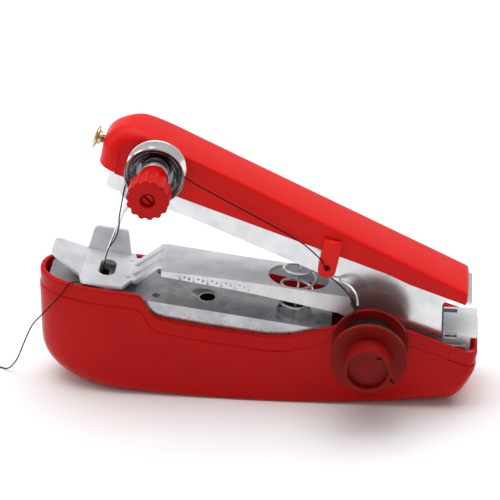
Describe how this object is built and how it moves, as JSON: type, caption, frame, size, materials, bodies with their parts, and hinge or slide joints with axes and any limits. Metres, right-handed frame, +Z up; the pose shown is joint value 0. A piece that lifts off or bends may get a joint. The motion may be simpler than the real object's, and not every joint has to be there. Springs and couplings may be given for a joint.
{
  "type": "handheld sewing machine",
  "caption": "Red handheld lever sewing machine with zinc-plated frame and presser arm, tension knob, thread spool and black thread.",
  "frame": {"origin": "on the table under the middle of the base", "axes": "+X to the hinge end, -Y to the spool side, +Z up"},
  "size_m": [0.1474, 0.0375, 0.0734],
  "materials": {
    "red_housing": "gloss",
    "red_cover": "gloss",
    "red_knob": "gloss",
    "spool_plastic": "satin",
    "zinc": "satin",
    "white_zinc": "satin",
    "steel": "satin",
    "spring_wire": "gloss",
    "chrome": "gloss",
    "brass": "gloss",
    "thread": "matte"
  },
  "bodies": {
    "base": {"base_housing": "red_housing", "base_frame": "zinc", "saddle_plate": "white_zinc", "hinge_pin": "steel", "pin_clips": "steel", "housing_screws": "steel", "spool_spindle": "steel", "spool_washer": "steel", "looper_bracket": "zinc", "looper_pin": "steel", "looper_spring": "spring_wire", "presser_spring": "spring_wire", "main_spring": "spring_wire", "thread_supply": "thread", "thread_tail": "thread"},
    "lever": {"lever_cover": "red_cover", "lever_channel": "zinc", "cover_rivets": "steel", "needle_holder": "steel", "needle": "chrome", "tension_post": "steel", "tension_disc_back": "chrome", "tension_disc_front": "chrome", "tension_spring": "spring_wire", "thread_hook": "spring_wire", "push_strip": "steel", "thread_upper": "thread", "thread_fall": "thread"},
    "needle_screw": {"needle_screw": "brass"},
    "tension_knob": {"tension_knob": "red_knob"},
    "presser": {"presser_arm": "zinc"},
    "looper": {"looper": "steel"},
    "spool": {"spool": "spool_plastic", "thread_winding": "thread"}
  },
  "joints": [
    {"name": "lever_hinge", "type": "hinge", "parent": "base", "child": "lever", "pos_m": [0.047, 0, 0.013], "axis": [0, -1, 0], "range_deg": [0, 12.7], "stiffness_Nm_per_rad": 0.5, "springref_deg": -20.05, "deforming": ["main_spring", "thread_supply", "thread_fall"]},
    {"name": "presser_hinge", "type": "hinge", "parent": "base", "child": "presser", "pos_m": [0.047, 0, 0.013], "axis": [0, -1, 0], "range_deg": [-5, 0], "stiffness_Nm_per_rad": 0.1, "springref_deg": 17.19},
    {"name": "looper_swing", "type": "hinge", "parent": "base", "child": "looper", "pos_m": [-0.02, 0, 0.012], "axis": [0, 1, 0], "range_deg": [0, 17.9]},
    {"name": "spool_spin", "type": "hinge", "parent": "base", "child": "spool", "pos_m": [0.0283, 0, 0.0197], "axis": [0, 1, 0], "continuous": true},
    {"name": "tension_knob_turn", "type": "hinge", "parent": "lever", "child": "tension_knob", "pos_m": [-0.0249, 0, 0.0641], "axis": [0, 1, 0], "range_deg": [-180, 180]},
    {"name": "needle_screw_turn", "type": "hinge", "parent": "lever", "child": "needle_screw", "pos_m": [-0.04036, 0, 0.06766], "axis": [0.938, 0, -0.3466], "range_deg": [-180, 180]}
  ],
  "couplings": [
    {"joint": "looper_swing", "follows": "lever_hinge", "ratio": 1.4}
  ]
}
